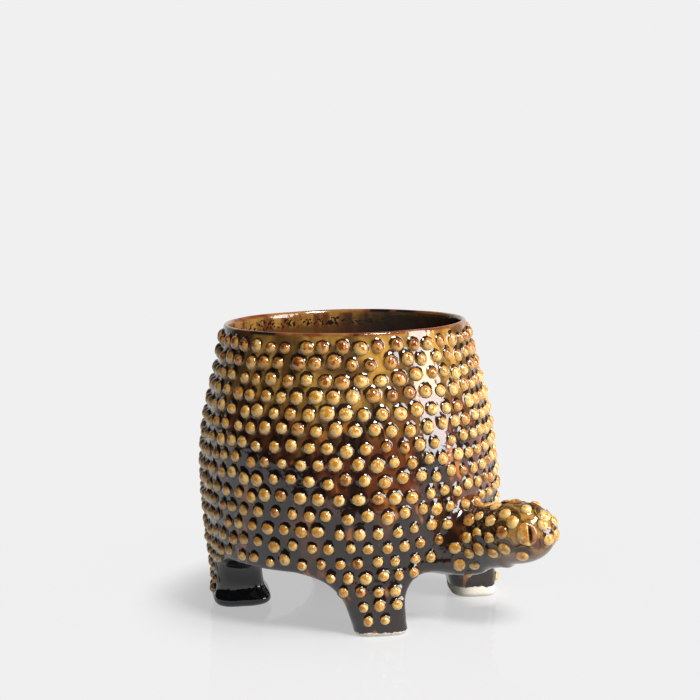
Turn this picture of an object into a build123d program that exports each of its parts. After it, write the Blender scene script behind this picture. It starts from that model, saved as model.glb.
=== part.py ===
from build123d import *
import os
from math import atan2, cos, degrees, floor, hypot, pi, radians, sin
from random import Random

# Tortoise planter in glazed stoneware, in millimetres.
# +Z is up and +X runs towards the head. The origin lies on the table, under the middle of the whole length.

# Outside of the bare pot wall: heights stack up from the table, and radii step in from the belly
belly_height = 55.0
shoulder_rise = 42.0
collar_rise = 23.0
lip_rise = 20.0
belly_radius = 72.0
foot_step = 5.0
shoulder_step = 2.4
collar_step = 5.7
lip_step = 3.9

# Thickness of the pot
wall_thickness = 4.5
lip_thickness = 2.6
rim_rounding = 1.1
floor_thickness = 6.0
base_chamfer = 2.0

# Legs, which carry the wall's outline on down to the table
leg_height = 29.0
leg_bearing = 45.0
leg_depth = 24.0
sole_half_width = 12.5
saddle_half_width = 40.0
arch_power = 4
leg_setback = 0.3
leg_corner = 4.5
sole_rounding = 2.0
leg_levels = 8
front_splay = 6.0

# Neck and head, turned on one axis that climbs out of the pot
neck_tilt = 10.0
neck_rise = 5.0
neck_sink = 10.0
neck_root_radius = 16.5
neck_radius = 12.6
neck_hollow = 0.4
neck_length = 22.0
head_radius = 14.2
head_length = 34.5
cheek_distance = 14.0
face_radius = 12.0
face_distance = 26.0
nape_swell = 30.0

# Eyes, set on the front quarters of the face
eye_distance = 28.0
eye_bearing = 84.0
eye_half_height = 4.6
eye_half_width = 3.2
eye_height = 1.8
eye_taper = 28.0
eye_bed = 2.5
slit_width = 1.1
slit_length = 6.4
slit_depth = 1.2

# Clay pellets, set out by hand
pellet_diameter = 6.6
pellet_height = 2.6
pellet_taper = 27.0
pellet_sides = 6
pellet_gap = 2.1
row_gap = 0.6
lute_gap = 0.1
rim_margin = 6.9
sidewise_wander = 1.3
upward_wander = 1.3
eased_pitch = 8.0
easing_rounds = 12
leg_pellet_diameter = 6.0
leg_pellet_stagger = 0.2
leg_sidewise_wander = 0.7
leg_upward_wander = 0.3
head_pellet_diameter = 5.6
head_pellet_height = 2.0
head_pellet_gap = 1.2
head_wander = 0.3
neck_rings = 2
bare_throat = 116.0
neck_underside = 150.0
hand_seed = 7

os.makedirs("parts", exist_ok=True)

# Profile of the wall as radius against height, from the sole to the lip
shoulder_height = belly_height + shoulder_rise
collar_height = shoulder_height + collar_rise
rim_height = collar_height + lip_rise
foot_radius = belly_radius - foot_step
shoulder_radius = belly_radius - shoulder_step
collar_radius = shoulder_radius - collar_step
rim_radius = collar_radius - lip_step
with BuildLine() as wall_profile:
    wall_curve = Spline(
        (foot_radius, 0),
        (belly_radius, belly_height),
        (shoulder_radius, shoulder_height),
        (collar_radius, collar_height),
        (rim_radius, rim_height),
    )

with BuildLine() as inside_profile:
    inside_curve = Spline(
        (foot_radius - wall_thickness, 0),
        (belly_radius - wall_thickness, belly_height),
        (shoulder_radius - wall_thickness, shoulder_height),
        (collar_radius - wall_thickness, collar_height),
        (rim_radius - lip_thickness, rim_height),
    )


def place_at_height(height):
    """Find where along the wall profile a height lies."""
    low = 0.0
    high = 1.0
    while high - low > 1e-9:
        middle = (low + high) / 2
        if (wall_curve @ middle).Y < height:
            low = middle
        else:
            high = middle
    return low


def wall_radius(height):
    return (wall_curve @ place_at_height(height)).X


def wall_lean(place):
    """Angle by which the wall faces upwards, in degrees."""
    along = wall_curve % place
    return degrees(atan2(-along.X, along.Y))


# The neck starts inside the wall, and the pot stands back from the origin by half of what the head reaches out
neck_start = belly_radius - neck_sink
tilt = radians(neck_tilt)
head_reach = neck_start + (neck_length + head_length + head_pellet_height) * cos(tilt)
back_reach = belly_radius + pellet_height
pot_x = (back_reach - head_reach) / 2

pot_axis = Axis((pot_x, 0, 0), (0, 0, 1))
pot_section = Plane(origin=(pot_x, 0, 0), x_dir=(1, 0, 0), z_dir=(0, -1, 0))
neck_direction = Vector(cos(tilt), 0, sin(tilt))
neck_section = Plane(
    origin=(pot_x + neck_start, 0, leg_height + neck_rise),
    x_dir=neck_direction,
    z_dir=(0, -1, 0),
)
neck_axis = Axis(neck_section.origin, neck_direction)

# Solid outside form of the pot, from which the slab, the wall and the scribed joints are cut
with BuildPart() as pot_form:
    with BuildSketch(pot_section):
        with BuildLine():
            add(wall_curve)
            Polyline(wall_curve @ 1, (0, rim_height), (0, 0), wall_curve @ 0)
        make_face()
    revolve(axis=pot_axis)
    split(bisect_by=Plane.XY.offset(leg_height), keep=Keep.TOP)
    chamfer(pot_form.faces().sort_by(Axis.Z)[0].edges(), base_chamfer)

floor_top = leg_height + floor_thickness

with BuildPart() as base_slab:
    add(pot_form.part)
    split(bisect_by=Plane.XY.offset(floor_top), keep=Keep.BOTTOM)
base_slab.part.label = "base_slab"
export_step(base_slab.part, "parts/base_slab.step")

with BuildPart() as pot_wall:
    add(pot_form.part)
    split(bisect_by=Plane.XY.offset(floor_top), keep=Keep.TOP)
    with BuildSketch(pot_section):
        with BuildLine():
            add(inside_curve)
            Polyline(inside_curve @ 1, (0, rim_height), (0, 0), inside_curve @ 0)
        make_face()
    revolve(axis=pot_axis, mode=Mode.SUBTRACT)
    fillet(pot_wall.faces().sort_by(Axis.Z)[-1].edges(), rim_rounding)
pot_wall.part.label = "pot_wall"
export_step(pot_wall.part, "parts/pot_wall.step")

# Legs, each lofted through levels whose flanks spread into the arches. They run up past the slab's chamfer, a hair
# inside the wall's face, and are cut to the underside of the pot.
saddle_height = leg_height + 2 * base_chamfer
leg_bearings = {
    "leg_front_left": leg_bearing,
    "leg_front_right": -leg_bearing,
    "leg_rear_left": 180 - leg_bearing,
    "leg_rear_right": leg_bearing - 180,
}


def leg_half_width(height):
    spread = (height / saddle_height) ** arch_power
    return sole_half_width + (saddle_half_width - sole_half_width) * spread


def leg_plane(height, bearing):
    """Plane across a leg, with its own X out along the bearing. The front legs step forward as they go down."""
    splay = front_splay if abs(bearing) < 90 else 0
    step = splay * (1 - height / saddle_height)
    return Plane((pot_x + step, 0, height)).rotated((0, 0, bearing))


def leg_lean(bearing):
    """Angle by which the step forward turns a front leg's face upwards, in degrees."""
    splay = front_splay if abs(bearing) < 90 else 0
    return degrees(atan2(splay * cos(radians(bearing)), saddle_height))


legs = {}
for leg_name, bearing in leg_bearings.items():
    with BuildPart() as leg:
        for level in range(leg_levels):
            height = saddle_height * level / (leg_levels - 1)
            outer_radius = wall_radius(height) - leg_setback
            with BuildSketch(leg_plane(height, bearing)) as leg_level:
                Circle(outer_radius)
                Circle(outer_radius - leg_depth, mode=Mode.SUBTRACT)
                with Locations((outer_radius, 0)):
                    Rectangle(2 * leg_depth, 2 * leg_half_width(height), mode=Mode.INTERSECT)
                fillet(leg_level.vertices(), leg_corner)
        loft()
        fillet(leg.faces().sort_by(Axis.Z)[0].edges(), sole_rounding)
        add(pot_form.part, mode=Mode.SUBTRACT)
    legs[leg_name] = leg.part
    leg.part.label = leg_name
    export_step(leg.part, f"parts/{leg_name}.step")

# Neck, a hollow-sided cone scribed to the pot and to the two front legs
with BuildPart() as neck:
    with BuildSketch(neck_section):
        with BuildLine():
            Line((0, 0), (0, neck_root_radius))
            SagittaArc((0, neck_root_radius), (neck_length, neck_radius), -neck_hollow)
            Polyline((neck_length, neck_radius), (neck_length, 0), (0, 0))
        make_face()
    revolve(axis=neck_axis)
    add(pot_form.part, mode=Mode.SUBTRACT)
    add(legs["leg_front_left"], mode=Mode.SUBTRACT)
    add(legs["leg_front_right"], mode=Mode.SUBTRACT)
neck.part.label = "neck"
export_step(neck.part, "parts/neck.step")

# Head, an egg whose flat back meets the end of the neck
with BuildLine() as head_profile:
    head_curve = Spline(
        (neck_length, neck_radius),
        (neck_length + cheek_distance, head_radius),
        (neck_length + face_distance, face_radius),
        (neck_length + head_length, 0),
        tangents=((cos(radians(nape_swell)), sin(radians(nape_swell))), (0, -1)),
    )

with BuildPart() as head:
    with BuildSketch(neck_section):
        with BuildLine():
            add(head_curve)
            Polyline(head_curve @ 1, (neck_length, 0), head_curve @ 0)
        make_face()
    revolve(axis=neck_axis)
head.part.label = "head"
export_step(head.part, "parts/head.step")


def place_at_distance(distance):
    """Find where along the head profile a distance from the neck lies."""
    low = 0.0
    high = 1.0
    while high - low > 1e-9:
        middle = (low + high) / 2
        if (head_curve @ middle).X < neck_length + distance:
            low = middle
        else:
            high = middle
    return low


def head_plane(place, bearing):
    """Plane that touches the head profile at a place, turned by a bearing from the crown."""
    point = head_curve @ place
    along = head_curve % place
    crown = neck_section.y_dir
    sideways = crown * cos(radians(bearing)) + neck_section.z_dir * sin(radians(bearing))
    origin = neck_section.origin + neck_direction * point.X + sideways * point.Y
    outwards = sideways * along.X - neck_direction * along.Y
    forwards = neck_direction * along.X + sideways * along.Y
    return Plane(origin=origin, x_dir=forwards, z_dir=outwards)


# Eyes, upright beans with a slit, bedded on the curve of the head
eye_place = place_at_distance(eye_distance)
eye_planes = {
    "eye_left": head_plane(eye_place, -eye_bearing),
    "eye_right": head_plane(eye_place, eye_bearing),
}
for eye_name, eye_plane in eye_planes.items():
    with BuildPart() as eye:
        with BuildSketch(eye_plane):
            Ellipse(eye_half_width, eye_half_height)
        extrude(amount=eye_height, taper=eye_taper)
        with BuildSketch(eye_plane):
            Ellipse(eye_half_width, eye_half_height)
        extrude(amount=-eye_bed)
        with BuildSketch(eye_plane.offset(eye_height)):
            SlotOverall(slit_length, slit_width, rotation=90)
        extrude(amount=-slit_depth, mode=Mode.SUBTRACT)
        add(head.part, mode=Mode.SUBTRACT)
    eye.part.label = eye_name
    export_step(eye.part, f"parts/{eye_name}.step")

# One pellet of each size, standing flat side up on its seat and drawn in towards the top
pellet_radius = pellet_diameter / 2
with BuildPart() as pellet:
    with BuildSketch(Plane.XY.offset(lute_gap)):
        RegularPolygon(pellet_radius, pellet_sides, rotation=180 / pellet_sides)
    extrude(amount=pellet_height - lute_gap, taper=pellet_taper)

leg_pellet_radius = leg_pellet_diameter / 2
with BuildPart() as leg_pellet:
    with BuildSketch(Plane.XY.offset(lute_gap)):
        RegularPolygon(leg_pellet_radius, pellet_sides, rotation=180 / pellet_sides)
    extrude(amount=pellet_height - lute_gap, taper=pellet_taper)

head_pellet_radius = head_pellet_diameter / 2
with BuildPart() as head_pellet:
    with BuildSketch(Plane.XY.offset(lute_gap)):
        RegularPolygon(head_pellet_radius, pellet_sides, rotation=180 / pellet_sides)
    extrude(amount=head_pellet_height - lute_gap, taper=pellet_taper)

pellet_pitch = pellet_diameter + pellet_gap
leg_pellet_pitch = leg_pellet_diameter + pellet_gap
head_pellet_pitch = head_pellet_diameter + head_pellet_gap


hand = Random(hand_seed)


def off_by_hand(reach):
    """How far one pellet lies off its place, in millimetres."""
    return hand.uniform(-reach, reach)


def pellets_round(radius, pitch):
    """Count the pellets that fit round a ring, which has one at least."""
    return max(1, floor(2 * pi * radius / pitch))


def ring_bearings(radius, pitch, row, start):
    """Bearings of the pellets on a ring in degrees, with every second ring half a step round."""
    count = pellets_round(radius, pitch)
    return [start + 360 / count * (i + 0.5 * (row % 2)) for i in range(count)]


def wall_spot(distance, bearing):
    """Place for a pellet at a distance along the wall profile, with its own Z out from the clay."""
    place = distance / wall_curve.length
    seat = wall_curve @ place
    level = Plane((pot_x, 0, seat.Y)).rotated((0, 0, bearing))
    return level.location * Location((seat.X, 0, 0), (0, 90 - wall_lean(place), 0))


def unrolled_step(first, second, radius):
    """Step from one pellet to another on the unrolled wall, sidewise and upwards."""
    turn = (second[1] - first[1] + 180) % 360 - 180
    return radians(turn) * radius, second[0] - first[0]


def eased_apart(rows, radii, lowest, highest):
    """Ease crowded pellets apart, as a maker does while pressing them on."""
    for _ in range(easing_rounds):
        for row, pellets in enumerate(rows):
            beside = [other for near in rows[max(row - 1, 0) : row + 2] for other in near]
            for one in pellets:
                for other in beside:
                    aside, upwards = unrolled_step(one, other, radii[row])
                    gap = hypot(aside, upwards)
                    if other is not one and gap < eased_pitch:
                        push = (eased_pitch - gap) / gap / 2
                        one[0] = min(max(one[0] - upwards * push, lowest), highest)
                        one[1] -= degrees(aside * push / radii[row])


def clear_of_neck(spot):
    """Say whether a pellet on the wall stands off the side of the neck."""
    reach = spot.position - neck_section.origin
    aside = reach - neck_direction * reach.dot(neck_direction)
    return aside.length > neck_root_radius + pellet_radius


# Rows on the wall, spread along its profile from the lip down to the edge of the arches
lip_end = wall_curve.length - rim_margin
last_height = leg_height + base_chamfer + pellet_radius
foot_end = place_at_height(last_height) * wall_curve.length
row_count = floor((lip_end - foot_end) / (pellet_diameter + row_gap)) + 1
row_pitch = (lip_end - foot_end) / (row_count - 1)

row_radii = []
rows = []
for row in range(row_count):
    distance = lip_end - row * row_pitch
    radius = (wall_curve @ (distance / wall_curve.length)).X
    bearings = ring_bearings(radius, pellet_pitch, row, -leg_bearing)
    row_radii.append(radius)
    rows.append(
        [
            [distance + off_by_hand(upward_wander), bearing + degrees(off_by_hand(sidewise_wander) / radius)]
            for bearing in bearings
        ]
    )
eased_apart(rows, row_radii, foot_end, lip_end)

for row, pellets in enumerate(rows):
    spots = [wall_spot(distance, bearing) for distance, bearing in pellets]
    with BuildPart() as pellet_row:
        with Locations(*[spot for spot in spots if clear_of_neck(spot)]):
            add(pellet.part)
    row_name = f"pellet_row_{row + 1:02d}"
    pellet_row.part.label = row_name
    export_step(pellet_row.part, f"parts/{row_name}.step")


def leg_spot(height, bearing, aside):
    """Place for a pellet on a leg's outer face, at a distance to the side of its middle."""
    height += off_by_hand(leg_upward_wander)
    place = place_at_height(height)
    radius = (wall_curve @ place).X - leg_setback
    turn = degrees((aside + off_by_hand(leg_sidewise_wander)) / radius)
    level = leg_plane(height, bearing)
    lean = wall_lean(place) + leg_lean(bearing)
    about_pot = Location((0, 0, 0), (0, 0, turn))
    return level.location * about_pot * Location((radius, 0, 0), (0, 90 - lean, 0))


# Rows on the outer face of each leg carry the wall's rows on down, as many pellets wide as the leg allows
leg_row_pitch = leg_pellet_diameter + row_gap
leg_rows = floor((last_height - leg_pellet_radius - sole_rounding) / leg_row_pitch)
for leg_name, bearing in leg_bearings.items():
    spots = []
    for row in range(leg_rows):
        height = last_height - (row + 1) * leg_row_pitch
        face_width = 2 * (leg_half_width(height) - leg_corner)
        pellet_count = floor(face_width / leg_pellet_pitch) + 1
        stagger = leg_pellet_stagger * (-1) ** row
        for i in range(pellet_count):
            spots.append(leg_spot(height, bearing, leg_pellet_pitch * (i - (pellet_count - 1) / 2 + stagger)))
    with BuildPart() as leg_pellets:
        with Locations(*[spot for spot in spots if clear_of_neck(spot)]):
            add(leg_pellet.part)
    pellets_name = f"{leg_name}_pellets"
    leg_pellets.part.label = pellets_name
    export_step(leg_pellets.part, f"parts/{pellets_name}.step")


def clear_below(bearing, limit):
    """Say whether a bearing from the crown, either way round, stays short of a limit."""
    return cos(radians(bearing)) > cos(radians(limit))


def clear_of_wall(spot):
    """Say whether a pellet on the neck stands off the wall and its pellets."""
    out = hypot(spot.position.X - pot_x, spot.position.Y)
    return out > wall_radius(spot.position.Z) + pellet_height + head_pellet_radius


def clear_of_eyes(spot):
    """Say whether a place on the head leaves room for its pellet beside both eyes."""
    for eye_plane in eye_planes.values():
        aside = eye_plane.to_local_coords(spot.position)
        across = aside.X / (eye_half_width + head_pellet_radius)
        upwards = aside.Y / (eye_half_height + head_pellet_radius)
        if aside.Z > -head_pellet_diameter and across**2 + upwards**2 < 1:
            return False
    return True


def neck_spot(distance, bearing):
    """Place for a pellet on the neck, at a bearing from the crown."""
    radius = neck_root_radius - (neck_root_radius - neck_radius) * distance / neck_length
    turn = bearing + degrees(off_by_hand(head_wander) / radius)
    centre = neck_section.origin + neck_direction * distance
    section = Plane(origin=centre, x_dir=neck_section.y_dir, z_dir=neck_direction)
    neck_lean = degrees(atan2(neck_root_radius - neck_radius, neck_length))
    about_neck = Location((0, 0, 0), (0, 0, turn))
    return section.location * about_neck * Location((radius, 0, 0), (0, 90 - neck_lean, 0))


def head_spot(place, bearing):
    """Place for a pellet on the head, at a bearing from the crown."""
    radius = (head_curve @ place).Y
    turn = bearing + degrees(off_by_hand(head_wander) / radius)
    return head_plane(place + off_by_hand(head_wander) / head_curve.length, turn).location


# Rings on the neck, behind the groove where the head begins
head_ring_gap = head_pellet_diameter + row_gap
spots = []
for ring in range(neck_rings):
    distance = neck_length - head_pellet_radius - ring * head_ring_gap
    bearings = ring_bearings(neck_radius, head_pellet_pitch, ring, 0)
    spots += [neck_spot(distance, bearing) for bearing in bearings if clear_below(bearing, neck_underside)]
with BuildPart() as neck_pellets:
    with Locations(*[spot for spot in spots if clear_of_wall(spot)]):
        add(head_pellet.part)
neck_pellets.part.label = "neck_pellets"
export_step(neck_pellets.part, "parts/neck_pellets.step")

# Rings on the head, spread along its profile and left out round the eyes and under the chin
ring_count = floor(head_curve.length / head_ring_gap)
spots = []
for ring in range(ring_count):
    place = (ring + 0.5) / ring_count
    bearings = ring_bearings((head_curve @ place).Y, head_pellet_pitch, ring, 0)
    spots += [head_spot(place, bearing) for bearing in bearings if clear_below(bearing, bare_throat)]
with BuildPart() as head_pellets:
    with Locations(*[spot for spot in spots if clear_of_eyes(spot)]):
        add(head_pellet.part)
head_pellets.part.label = "head_pellets"
export_step(head_pellets.part, "parts/head_pellets.step")
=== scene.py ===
import random
from math import cos, hypot, pi, radians, sin, tau

import bmesh
import bpy
import numpy as np
import openvdb
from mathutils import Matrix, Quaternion, Vector
from mathutils.bvhtree import BVHTree


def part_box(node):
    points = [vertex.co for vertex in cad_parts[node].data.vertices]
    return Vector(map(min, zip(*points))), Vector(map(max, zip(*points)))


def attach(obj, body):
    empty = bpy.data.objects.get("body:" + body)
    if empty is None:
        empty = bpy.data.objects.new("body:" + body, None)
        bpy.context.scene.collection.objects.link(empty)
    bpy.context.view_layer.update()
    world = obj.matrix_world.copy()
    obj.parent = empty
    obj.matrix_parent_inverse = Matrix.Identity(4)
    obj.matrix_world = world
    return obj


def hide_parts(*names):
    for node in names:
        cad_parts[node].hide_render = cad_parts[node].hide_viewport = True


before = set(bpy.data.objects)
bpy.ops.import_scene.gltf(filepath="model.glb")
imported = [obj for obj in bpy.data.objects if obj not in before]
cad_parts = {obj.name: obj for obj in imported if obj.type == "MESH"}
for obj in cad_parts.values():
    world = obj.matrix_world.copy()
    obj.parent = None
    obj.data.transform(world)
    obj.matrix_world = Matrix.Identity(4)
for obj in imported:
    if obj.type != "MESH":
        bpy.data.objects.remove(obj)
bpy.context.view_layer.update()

# Tortoise planter in glazed stoneware. Sizes here are in millimetres from the middle of the pot, at table
# level, and the finished pieces are set over the solids' own pot in metres.
MM = 0.001
wall_low, wall_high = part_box("pot_wall")
pot_middle = Vector(((wall_low.x + wall_high.x) / 2, (wall_low.y + wall_high.y) / 2, 0))

# Outside of the pot as heights and radii, from the table to the lip
WALL_HEIGHTS = (0.0, 55.0, 97.0, 120.0, 140.0)
WALL_RADII = (67.0, 72.0, 69.6, 63.9, 60.0)
WALL_THICKNESS = 4.5
LIP_THICKNESS = 2.4
LIP_TAPER = 16.0
UNDERSIDE = 29.0
FLOOR_LEVEL = 35.0
EDGE_ROUNDING = 3.0
CORNER_ROUNDING = 9.0
UNDERSIDE_RINGS = (0.0, 20.0, 40.0, 56.0)
FLOOR_RINGS = (40.0, 20.0, 0.0)
POT_SEGMENTS = 256
WALL_WAVER = 0.3
STEADY_BELOW = 66.0

# Legs
LEG_BEARINGS = (45.0, -45.0, 135.0, -135.0)
SADDLE_HEIGHT = 33.0
SOLE_HALF_WIDTH = 13.2
SADDLE_HALF_WIDTH = 40.0
ARCH_POWER = 4
LEG_DEPTH = 24.0
FRONT_SPLAY = 9.0
FRONT_STEP = 3.0
TOE_SWELL = -0.6
REAR_TOE_SWELL = 2.4
BARE_FRONT_LEFT = 5.0
BARE_FRONT_RIGHT = 1.9
BARE_REAR = 0.3
TOE_HEIGHT = 4.0
TOE_REACH = 4.5
FLANK_TOE_HEIGHT = 3.5
FLANK_TOE_REACH = 4.0
LEG_CORNER_BLEND = 9.0
ARCH_BLEND = 6.0
SOLE_BLEND = 3.0
LEGS_BOX = ((-78, -78, -2), (84, 78, 46))
LEGS_GRAIN = 1.1

# Shoulders
SHOULDER_SWELL = 2.2
SHOULDER_HEIGHT = 54.0
SHOULDER_REACH = 14.0
SHOULDER_BEARING = 40.0
SHOULDER_BREADTH = 20.0

# Neck and head
NECK_START = Vector((62.0, 0.0, 38.5))
NECK_TILT = radians(10.0)
NECK_ROOT_RADIUS = 16.5
NECK_RADIUS = 12.6
NECK_LENGTH = 22.0
NECK_DROP = 16.5
NECK_FILLET = 7.0
NECK_WEB = 17.0
WEB_TOP = 44.0
WEB_FALL = 14.0
THROAT_START = 16.0
THROAT_RUN = 12.0
THROAT_LIFT = 2.5
THROAT_OVERLAP = 8.0
NAPE_OVERLAP = 4.0
THROAT_BLEND = 7.0
NAPE_BLEND = 2.5
HEAD_RADIUS = 14.2
HEAD_MIDDLE = 36.5
HEAD_FRONT = 20.0
HEAD_BACK = 24.0
HEAD_POWER = 2.25
HEAD_BOX = ((50, -36, 8), (122, 36, 72))
HEAD_GRAIN = 0.8

# Joints between pieces of clay
JOINT_KEY = 2.2
JOINT_TUCK = 0.12
TUCK_START = 0.3
TUCK_RUN = 0.26
JOINT_LEAST = 0.04
JOINT_STEEPNESS = 6
CREASE_ANGLE = radians(42)

# Eyes
EYE_DISTANCE = 50.0
EYE_BEARING = 84.0
EYE_HALF_HEIGHT = 5.4
EYE_HALF_WIDTH = 4.8
EYE_CLEARANCE = 8.6
EYE_HEIGHT = 1.7
EYE_OUT = 11.0
SLIT_PLACE = 0.3
SLIT_DEPTH = 1.3
SLIT_BOW = 0.16
SLIT_HALF_WIDTH = 0.2
SLIT_HALF_LENGTH = 0.86
FRONT_LID = 0.8
EYE_BED = 0.5
EYE_RINGS = 14
EYE_SIDES = 36

# Studs
STUD_SEED = 7
STUD_SINK = 0.35
STUD_SHARE = 0.6
STUD_SHIFT = 0.35
STUD_POOL = 0.35
STUD_SIDES = 10
STUD_GIRTHS = (1, 0.85, 0.665, 0.61, 0.5, 0.28, 0)
STUD_LIFTS = (0, 0.12, 0.22, 0.47, 0.74, 0.93, 1)
LOW_STUD_WIDTH = 5.1
STUD_GROWTH = 1.0
GROWTH_START = 30.0
GROWTH_RISE = 80.0
STUD_HEIGHT = 2.95
LEG_STUD_HEIGHT = 2.7
HEAD_STUD_HEIGHT = 2.3
HEAD_STUD_WIDTH = 5.9
THROAT_STUD_SHRINK = 0.45
THROAT_STUD_HEIGHT = 30.0
THROAT_STUD_FALL = 4.0
ROOT_BEARINGS = (28, 64, 100)
ROOT_DISTANCE = 12.4
ROOT_RADIUS = 16.0
ROOT_CLEARANCE = 5.8


def placed(points):
    """Millimetres about the pot, as metres over the solids."""
    return [tuple(Vector(point) * MM + pot_middle) for point in points]


def smooth_max(a, b, width):
    """Larger of two fields, rounded where they meet."""
    blend = np.maximum(width - np.abs(a - b), 0.0) / width
    return np.maximum(a, b) + blend * blend * width / 4


def smooth_min(a, b, width):
    """Smaller of two fields, rounded where they meet."""
    return -smooth_max(-a, -b, width)


def spline_bends(heights, radii):
    """Second derivatives of the cubic through the wall's points, free at both ends."""
    count = len(heights)
    matrix = np.eye(count)
    right = np.zeros(count)
    for i in range(1, count - 1):
        below = heights[i] - heights[i - 1]
        above = heights[i + 1] - heights[i]
        matrix[i, i - 1 : i + 2] = (below, 2 * (below + above), above)
        right[i] = 6 * ((radii[i + 1] - radii[i]) / above - (radii[i] - radii[i - 1]) / below)
    return np.linalg.solve(matrix, right)


WALL_BENDS = spline_bends(WALL_HEIGHTS, WALL_RADII)


def wall_radius(height):
    """Outside radius of the pot at a height."""
    z = np.clip(height, WALL_HEIGHTS[0], WALL_HEIGHTS[-1])
    i = np.clip(np.searchsorted(WALL_HEIGHTS, z, side="right") - 1, 0, len(WALL_HEIGHTS) - 2)
    heights = np.array(WALL_HEIGHTS)
    radii = np.array(WALL_RADII)
    span = heights[i + 1] - heights[i]
    up = (z - heights[i]) / span
    down = 1 - up
    bend = (down**3 - down) * WALL_BENDS[i] + (up**3 - up) * WALL_BENDS[i + 1]
    return down * radii[i] + up * radii[i + 1] + bend * span**2 / 6


def wall_lean(height):
    """How far the wall draws in for each millimetre of height."""
    return wall_radius(height - 0.5) - wall_radius(height + 0.5)


def wall_thickness(height):
    """Thickness of the wall at a height. It thins towards the lip."""
    near_lip = min(max((height - WALL_HEIGHTS[-1] + LIP_TAPER) / LIP_TAPER, 0.0), 1.0)
    return WALL_THICKNESS - (WALL_THICKNESS - LIP_THICKNESS) * near_lip**1.6


# Forms as distance fields


def shoulder(x, y, z):
    """How far the wall swells over the front legs."""
    bearing = np.degrees(np.arctan2(np.abs(y), x))
    aside = (bearing - SHOULDER_BEARING) / SHOULDER_BREADTH
    above = (z - SHOULDER_HEIGHT) / SHOULDER_REACH
    return SHOULDER_SWELL * np.exp(-(aside**2) - above**2)


def wall_side(x, y, z):
    """Distance from the pot's outer face, which the legs carry on down and in front step forward."""
    splay = np.where(x > 0, FRONT_SPLAY, 0.0) * np.clip(1 - z / SADDLE_HEIGHT, 0, 1)
    toe = np.where(x > 0, TOE_SWELL, REAR_TOE_SWELL) * np.exp(-(((z - TOE_HEIGHT) / TOE_REACH) ** 2))
    level = np.hypot(x - splay, y) - wall_radius(z) - toe - shoulder(x, y, z)
    return level / np.sqrt(1 + wall_lean(z) ** 2)


def pot_form(x, y, z):
    """Distance from the outside of the pot, as if it were solid."""
    return smooth_max(wall_side(x, y, z), UNDERSIDE - z, 2 * EDGE_ROUNDING)


def leg_half_width(z):
    """Half the width of a leg at a height, where its flanks spread into the arches."""
    spread = (np.clip(z, 0, SADDLE_HEIGHT) / SADDLE_HEIGHT) ** ARCH_POWER
    return SOLE_HALF_WIDTH + (SADDLE_HALF_WIDTH - SOLE_HALF_WIDTH) * spread


def leg_core(x, y, z, bearing):
    """Distance from a leg's flanks and back, with no outer face."""
    splay = FRONT_SPLAY if abs(bearing) < 90 else 0.0
    forward = x - splay * np.clip(1 - z / SADDLE_HEIGHT, 0, 1)
    turn = radians(bearing)
    outwards = forward * cos(turn) + y * sin(turn)
    aside = np.abs(-forward * sin(turn) + y * cos(turn))
    swell = TOE_SWELL if abs(bearing) < 90 else REAR_TOE_SWELL
    toe = swell * np.exp(-(((z - FLANK_TOE_HEIGHT) / FLANK_TOE_REACH) ** 2))
    climb = np.clip(z, 0, SADDLE_HEIGHT) / SADDLE_HEIGHT
    slope = ARCH_POWER * (SADDLE_HALF_WIDTH - SOLE_HALF_WIDTH) / SADDLE_HEIGHT * climb ** (ARCH_POWER - 1)
    flank = (aside - leg_half_width(z) - toe) / np.sqrt(1 + slope**2)
    back = wall_radius(z) - LEG_DEPTH - outwards - toe
    return smooth_max(flank, back, LEG_CORNER_BLEND)


def legs_form(x, y, z):
    """Distance from the pot on its four legs, whose flanks run up into the arches."""
    lower = UNDERSIDE - z
    for bearing in LEG_BEARINGS:
        lower = smooth_min(lower, leg_core(x, y, z, bearing), ARCH_BLEND)
    whole = smooth_max(wall_side(x, y, z), lower, 2 * EDGE_ROUNDING)
    return smooth_max(whole, -z, SOLE_BLEND)


def along_neck(x, y, z):
    """Distance along the neck's axis, height above it and distance out from it."""
    run = x - NECK_START.x
    rise = z - NECK_START.z
    along = run * cos(NECK_TILT) + rise * sin(NECK_TILT)
    above = rise * cos(NECK_TILT) - run * sin(NECK_TILT)
    return along, above, np.hypot(above, y)


def head_form(x, y, z):
    """Distance from the neck and the egg-shaped head in front of it."""
    along, above, out = along_neck(x, y, z)
    radius = NECK_ROOT_RADIUS - (NECK_ROOT_RADIUS - NECK_RADIUS) * np.clip(along / NECK_LENGTH, 0, 1.2)
    drop = NECK_DROP - THROAT_LIFT * np.clip((along - THROAT_START) / THROAT_RUN, 0, 1)
    neck = np.hypot(np.where(above < 0, above * radius / drop, above), y) - radius
    overlap = np.where(above < 0, THROAT_OVERLAP, NAPE_OVERLAP)
    neck = np.maximum(neck, np.maximum(-along, along - NECK_LENGTH - overlap))
    forward = along - HEAD_MIDDLE
    length = np.where(forward > 0, HEAD_FRONT, HEAD_BACK)
    out = np.maximum(out, 1e-6)
    reach = np.maximum(np.abs(forward), 1e-6)
    ratio = ((out / HEAD_RADIUS) ** HEAD_POWER + (reach / length) ** HEAD_POWER) ** (1 / HEAD_POWER)
    grade = np.hypot(
        out ** (HEAD_POWER - 1) / HEAD_RADIUS**HEAD_POWER,
        reach ** (HEAD_POWER - 1) / length**HEAD_POWER,
    ) * np.maximum(ratio, 1e-6) ** (1 - HEAD_POWER)
    egg = (ratio - 1) / np.maximum(grade, 1e-3)
    return smooth_min(neck, egg, np.where(above < 0, THROAT_BLEND, NAPE_BLEND))


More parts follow.
